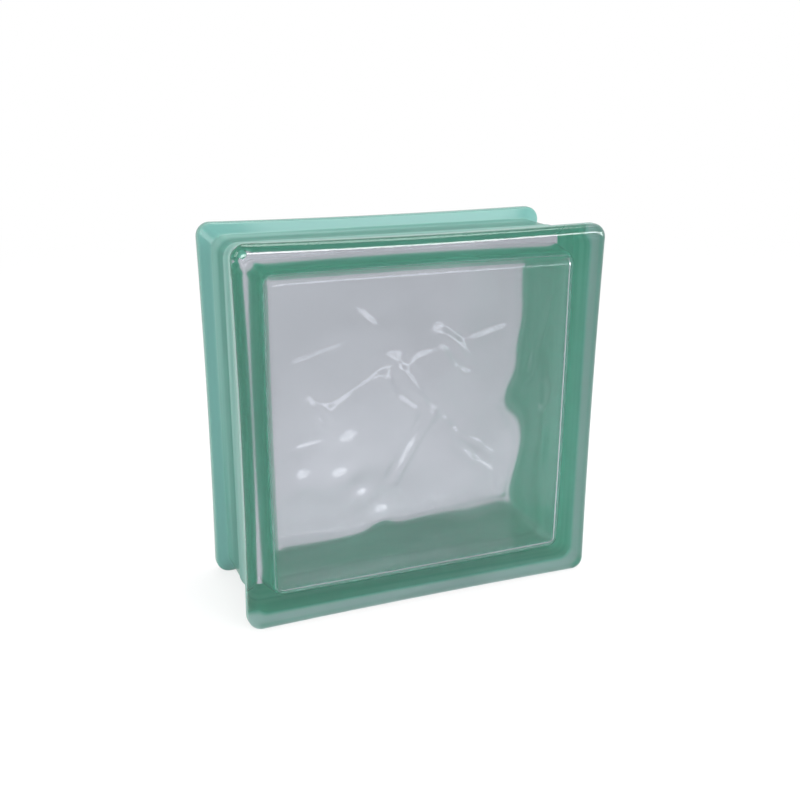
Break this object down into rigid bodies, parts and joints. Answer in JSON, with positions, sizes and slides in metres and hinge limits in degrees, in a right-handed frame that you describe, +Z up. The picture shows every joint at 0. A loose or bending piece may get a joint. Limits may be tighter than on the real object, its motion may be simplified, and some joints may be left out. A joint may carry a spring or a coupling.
{
  "type": "hollow glass block",
  "caption": "Square hollow glass block with clear wave-patterned faces, green coated edges and a mortar channel around its four sides.",
  "frame": {"origin": "under the middle of the block, level with the lowest points of its flanges", "axes": "+Z up as the block stands in a wall, X across the faces, Y through the block with the front face at -Y"},
  "size_m": [0.19, 0.08, 0.19],
  "materials": {
    "glass": "gloss"
  },
  "bodies": {
    "root": {"glass_block": "glass"}
  },
  "joints": []
}
